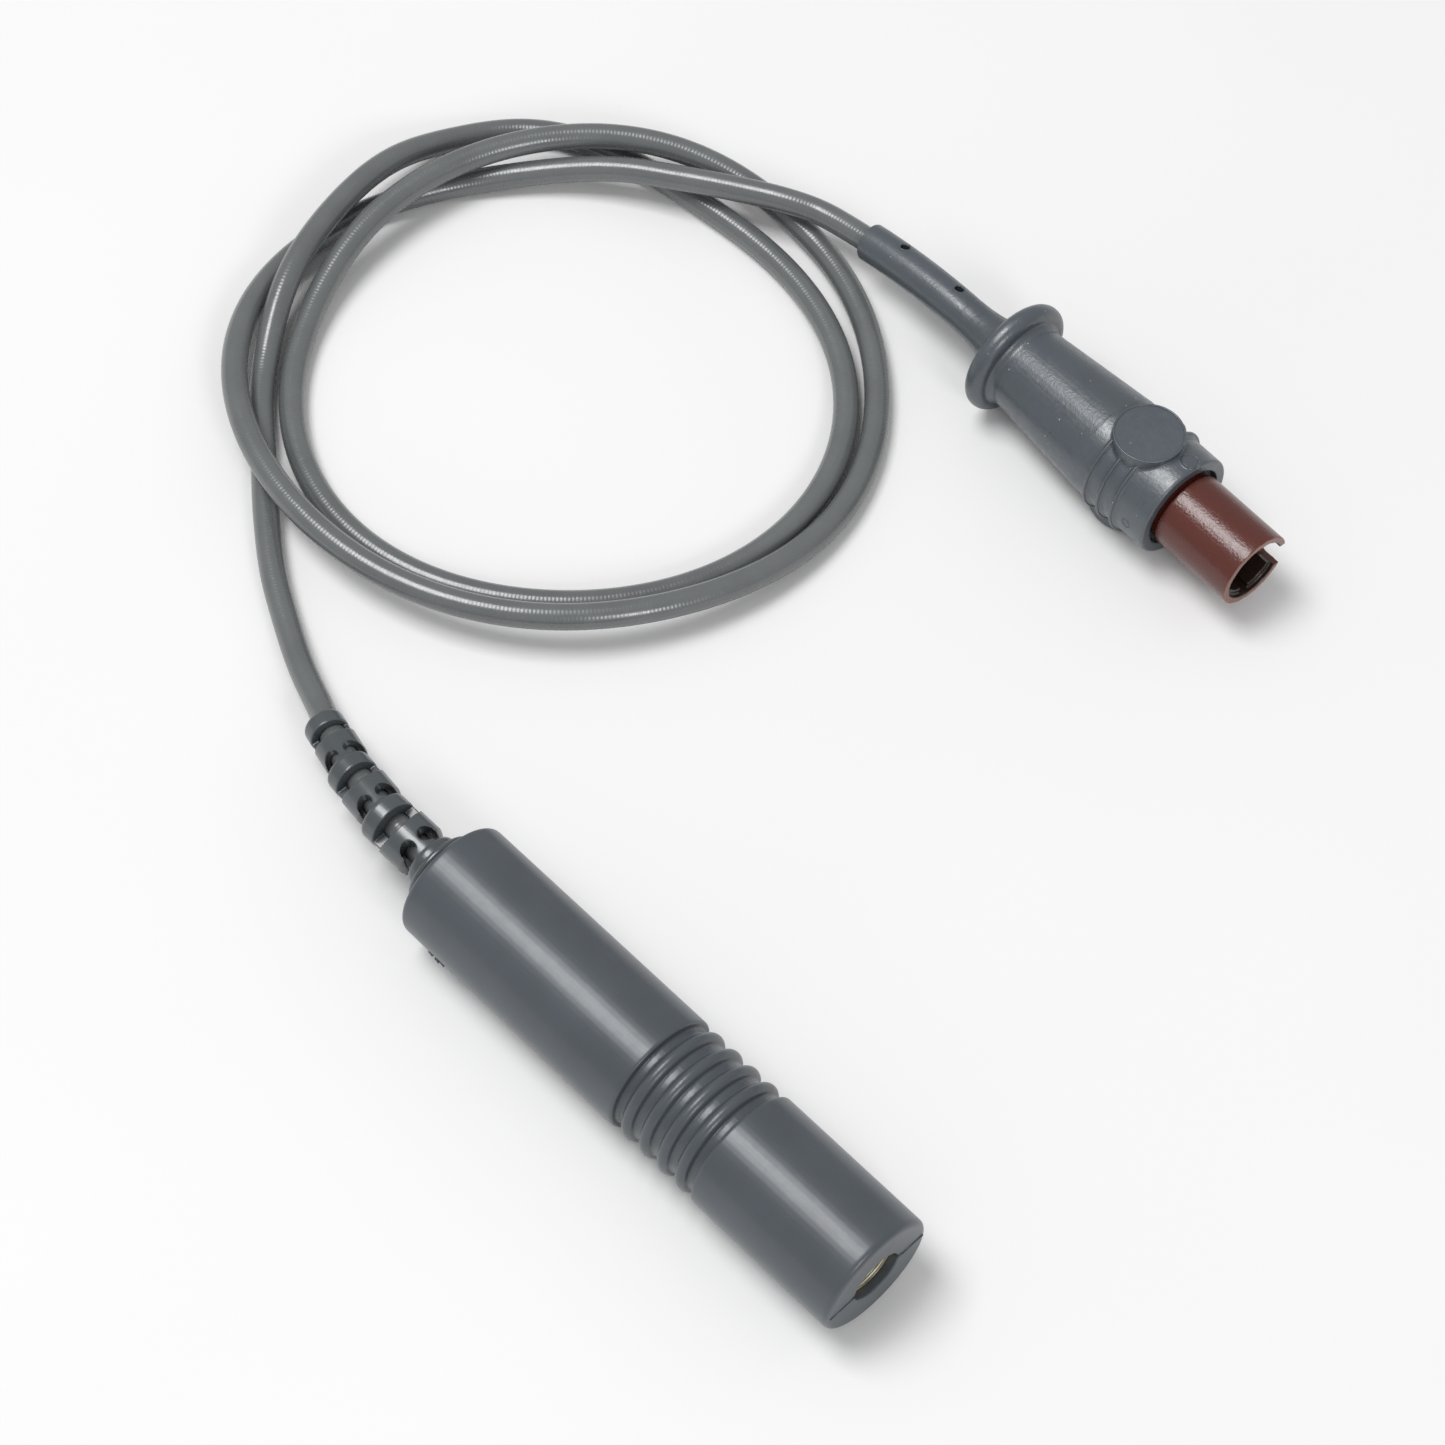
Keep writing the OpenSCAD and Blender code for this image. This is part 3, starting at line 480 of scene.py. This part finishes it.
FINISH = {
    "jack_bushing": BUSHING, "jack_frame": NICKEL, "jack_liner": NATURAL,
    "terminal_block": BLACK, "tip_spring": SPRING, "tip_tag": SPRING, "solder_joints": SOLDER,
    "signal_wire": WHITE_WIRE, "return_wire": BLACK_WIRE, "barrel_premould": NATURAL,
    "barrel_crimp": NICKEL, "contact_carrier": CARRIER, "contact_pins": BRASS,
    "plug_premould": NATURAL, "plug_crimp": NICKEL, "plug_signal_wire": WHITE_WIRE,
    "plug_return_wire": BLACK_WIRE,
}
for name, mat in FINISH.items():
    paint(nodes[name], mat)

# -------------------------------------------------- pieces

route = cord_route()
mesh, cord_len = tube_mesh("cord", route, CORD_R)
cord = new_object("cord", mesh)
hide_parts("relief_cord", "lead_cord", "cord_coil", "plug_cord", "boot_cord")
paint(cord, CORD)

FACE_R = 7.0                        # the flat front face's radius
SCAR_Y = -7.15
SCAR = ((-29.6, 5.3), (-28.6, 5.0), (-27.7, 5.3))    # x and z of the scar's three ticks
EJECTOR_U, EJECTOR_R = 28.5, 0.6    # the ejector's ring: place along the plug, radius
# Radii of the beads that draw the marks.
PARTING_BEAD, SCAR_BEAD, COLLAR_BEAD, RIM_BEAD = 0.13, 0.22, 0.5, 0.1
PAD_BEAD, RIB_BEAD, STUD_BEAD, EJECTOR_BEAD = 0.14, 0.2, 0.08, 0.1


def barrel_marks(bm):
    """The raised parting line across the front face and a scar of flash at the rear."""
    for side in (-1, 1):
        line = [Vector((FACE_X, side * r, AXIS_Z)) for r in (SOCKET_R + 0.5, FACE_R)]
        bead(bm, line, PARTING_BEAD)
    for x, z in SCAR:
        tick = [Vector((x, SCAR_Y, z)), Vector((x + 0.7, SCAR_Y - 0.05, z - 0.2))]
        bead(bm, tick, SCAR_BEAD)


def relief_marks(bm):
    """The collar's edge, right behind the barrel."""
    middle = Vector((FACE_X - BARREL_LEN - 1.4, 0, AXIS_Z))
    edge = circle(middle, Vector((0, 1, 0)), Vector((0, 0, 1)), COLLAR_R - 0.4)
    bead(bm, edge, COLLAR_BEAD, closed=True, sides=16)


def boot_holes():
    """For each moulding hole: its point on the boot's middle line, and the directions along
    the boot and out of the hole."""
    for s in PIN_HOLES_AT:
        along = (boot_point(s + 0.1) - boot_point(s - 0.1)).normalized()
        out = from_plug(Vector((0, math.sin(PIN_HOLE_ROLL), math.cos(PIN_HOLE_ROLL))))
        yield boot_point(s), along, (out - out.dot(along) * along).normalized()


def boot_marks(bm):
    """The raised rims of the two moulding holes."""
    for at, along, out in boot_holes():
        rim = circle(at + (BOOT_R - 0.08) * out, along, out.cross(along), PIN_HOLE_R + 0.12, 36)
        bead(bm, rim, RIM_BEAD, closed=True)


def grip_marks(bm):
    """Fine edges of the pad, the ribs, the stud and the ring left by the mould's ejector."""
    along, across, up = from_plug((1, 0, 0)), from_plug((0, 1, 0)), Vector((0, 0, 1))
    pad = circle(plug_point(PAD_U, 0, PAD_H), along, across, PAD_R - 0.08)
    bead(bm, pad, PAD_BEAD, closed=True)
    for i in range(RIBS):
        crest = circle(plug_point(RIB_U + i * RIB_PITCH), across, up, NOSE_R + RIB_PROUD, 96)
        bead(bm, crest, RIB_BEAD, closed=True)
    lift = math.sin(STUD_ROLL) * across + math.cos(STUD_ROLL) * up
    top = plug_point(STUD_U) + (NOSE_R + STUD_PROUD) * lift
    stud = circle(top, along, lift.cross(along), STUD_R, 36)
    bead(bm, stud, STUD_BEAD, closed=True)
    ejector = circle(plug_point(EJECTOR_U, -NOSE_R + 0.03), along, up, EJECTOR_R, 30)
    bead(bm, ejector, EJECTOR_BEAD, closed=True)


barrel = soft_solid("barrel", ["barrel_shell"], voxel=0.13, rounds=9,
                    detail=barrel_marks)
paint(barrel, BARREL)
relief = soft_solid("relief", ["strain_relief"], voxel=0.08, rounds=4,
                    detail=relief_marks)
paint(relief, RELIEF)
boot = soft_solid("boot", ["plug_boot"], voxel=0.07, rounds=3, detail=boot_marks)
paint(boot, PLUG)
# The walls of the boot's two moulding holes get the near-black grey of painted shade.
boot.data.materials.append(HOLE)
WALL_TOP, WALL_R = BOOT_R - 0.2, PIN_HOLE_R + 0.15    # the holes' walls lie below and inside these
for at, along, out in boot_holes():
    for face in boot.data.polygons:
        v = face.center / MM - at
        up = v.dot(out)
        if 0 < up < WALL_TOP and (v - up * out).length < WALL_R:
            face.material_index = 1
grip = soft_solid("grip", ["plug_grip"], voxel=0.10, rounds=5, detail=grip_marks)
paint(grip, PLUG)
shell = soft_solid("shell", ["keyed_shell"], voxel=0.10, rounds=4)
paint(shell, SHELL)
shell.data.materials.append(SHELL_INSIDE_SHADE)
shell.data.materials.append(SHELL_RIM_HIGHLIGHT)
WALL_INSIDE, RIM_FROM = SHELL_BORE + 0.1, GRIP_LEN + SHELL_OUT - 0.08
for face in shell.data.polygons:
    v = face.center / MM - plug_point(0)
    c, s = math.cos(PLUG_TURN), math.sin(PLUG_TURN)
    along, off = v.x * c + v.y * s, math.hypot(v.y * c - v.x * s, v.z)
    # The bore's walls get the darker brown of the painted shade.
    if off < WALL_INSIDE:
        face.material_index = 1
    # Faces at the front rim get the lighter brown of the painted highlight.
    elif along > RIM_FROM:
        face.material_index = 2

# -------------------------------------------------- floor and light


FLOOR_SIZE, WORLD_STRENGTH = 6, 0.46


def floor():
    bpy.ops.mesh.primitive_plane_add(size=FLOOR_SIZE, location=(0, 0, 0))
    ob = bpy.context.object
    ob.name = "floor"
    s = Shader("floor white")
    s.set(Specular_IOR_Level=0.2, Roughness=0.7)
    tint = s.ramp(s.noise(8, 2), [(0.3, (0.82, 0.82, 0.82)), (0.7, (0.84, 0.84, 0.84))])
    s.link(tint, s.bsdf.inputs["Base Color"])
    paint(ob, s.mat)


LIGHT_AIM = Vector((-0.03, 0.04, 0))    # between barrel, coil and plug; the lights face it


def area(name, at, size, power):
    data = bpy.data.lights.new(name, "AREA")
    data.shape, data.size, data.energy = "SQUARE", size, power
    ob = bpy.data.objects.new(name, data)
    bpy.context.scene.collection.objects.link(ob)
    ob.location = at
    ob.rotation_euler = (Vector(at) - LIGHT_AIM).to_track_quat("Z", "Y").to_euler()


floor()
world = bpy.data.worlds.new("studio")
world.use_nodes = True
world.node_tree.nodes["Background"].inputs["Color"].default_value = (1, 1, 1, 1)
world.node_tree.nodes["Background"].inputs["Strength"].default_value = WORLD_STRENGTH
bpy.context.scene.world = world
bpy.context.scene.view_settings.view_transform = "Standard"
area("key", at=(-0.38, -0.17, 1.12), size=0.54, power=9.0)
area("front", at=(0.74, -0.22, 0.58), size=0.25, power=2.2)
